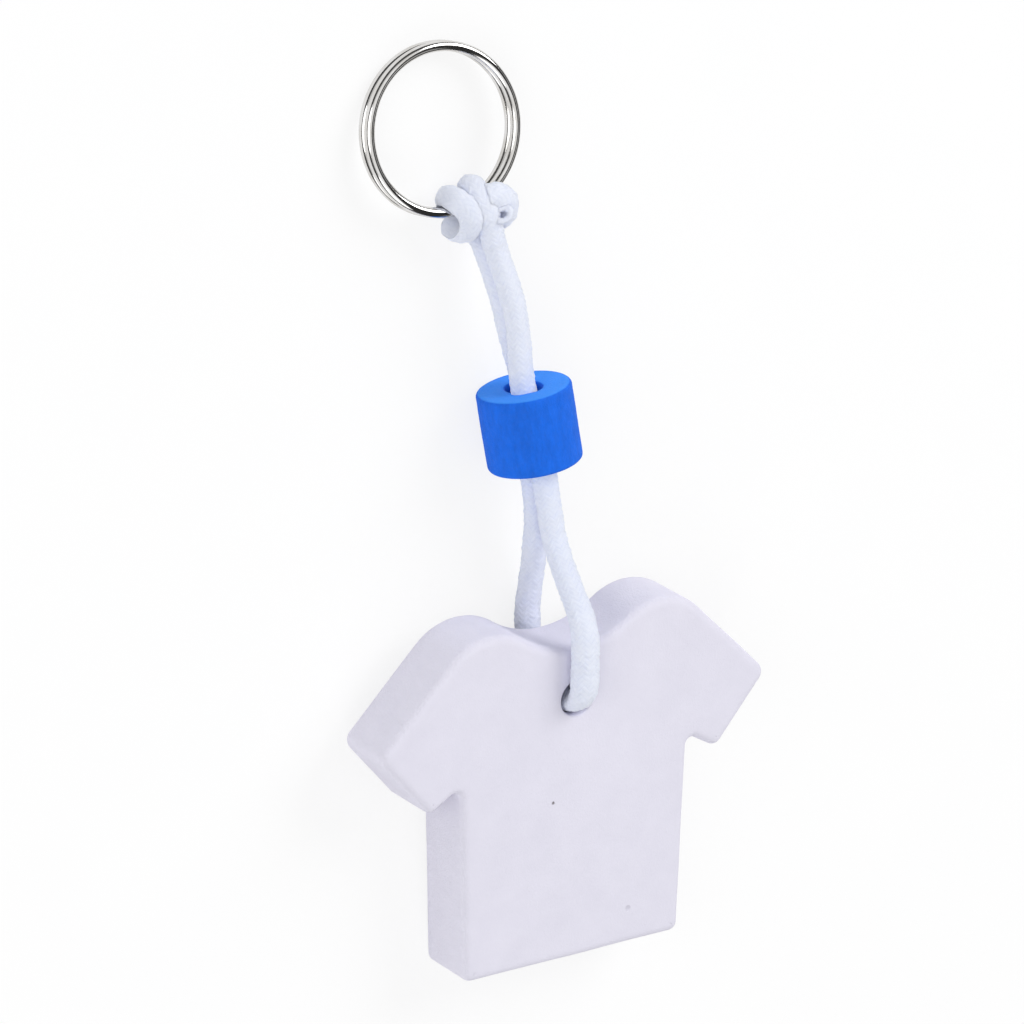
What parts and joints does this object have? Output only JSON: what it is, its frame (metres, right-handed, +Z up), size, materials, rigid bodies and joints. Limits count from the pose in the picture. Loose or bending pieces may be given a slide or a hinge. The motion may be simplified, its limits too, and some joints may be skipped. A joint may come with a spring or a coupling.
{
  "type": "floating keychain",
  "caption": "Floating keychain: a thick foam T-shirt on a soft braided cord loop, with a round foam bead over both strands and a knot tied round a split ring.",
  "frame": {"origin": "on the table, under the middle of the float, bead and ring", "axes": "+Z up from the table, +Y from the float's hem towards the split ring, +X to the right of the float's face"},
  "size_m": [0.0658, 0.137, 0.0173],
  "materials": {
    "foam_float": "white closed-cell foam, dull, with softly rounded edges",
    "foam_bead": "blue closed-cell foam, dull",
    "split_ring": "polished nickel-plated steel wire",
    "cord_loop": "soft white braided cord",
    "cord_knot": "soft white braided cord"
  },
  "bodies": {
    "float": {"foam_float": "foam_float"},
    "cord": {"cord_loop": "cord_loop", "cord_knot": "cord_knot"},
    "bead": {"foam_bead": "foam_bead"},
    "ring": {"split_ring": "split_ring"}
  },
  "joints": [
    {"name": "cord_swing", "type": "hinge", "parent": "float", "child": "cord", "pos_m": [0, -0.0278, 0.00819], "axis": [0, -0.0736, 0.9973], "range_deg": [-20, 20]},
    {"name": "bead_slide", "type": "slide", "parent": "cord", "child": "bead", "axis": [-0.1564, 0.9877, 0], "range_m": [-0.007, 0.012]},
    {"name": "ring_swing", "type": "hinge", "parent": "cord", "child": "ring", "pos_m": [-0.00919, 0.04533, 0.00464], "axis": [0.9205, 0.3907, 0], "range_deg": [0, 150]}
  ]
}
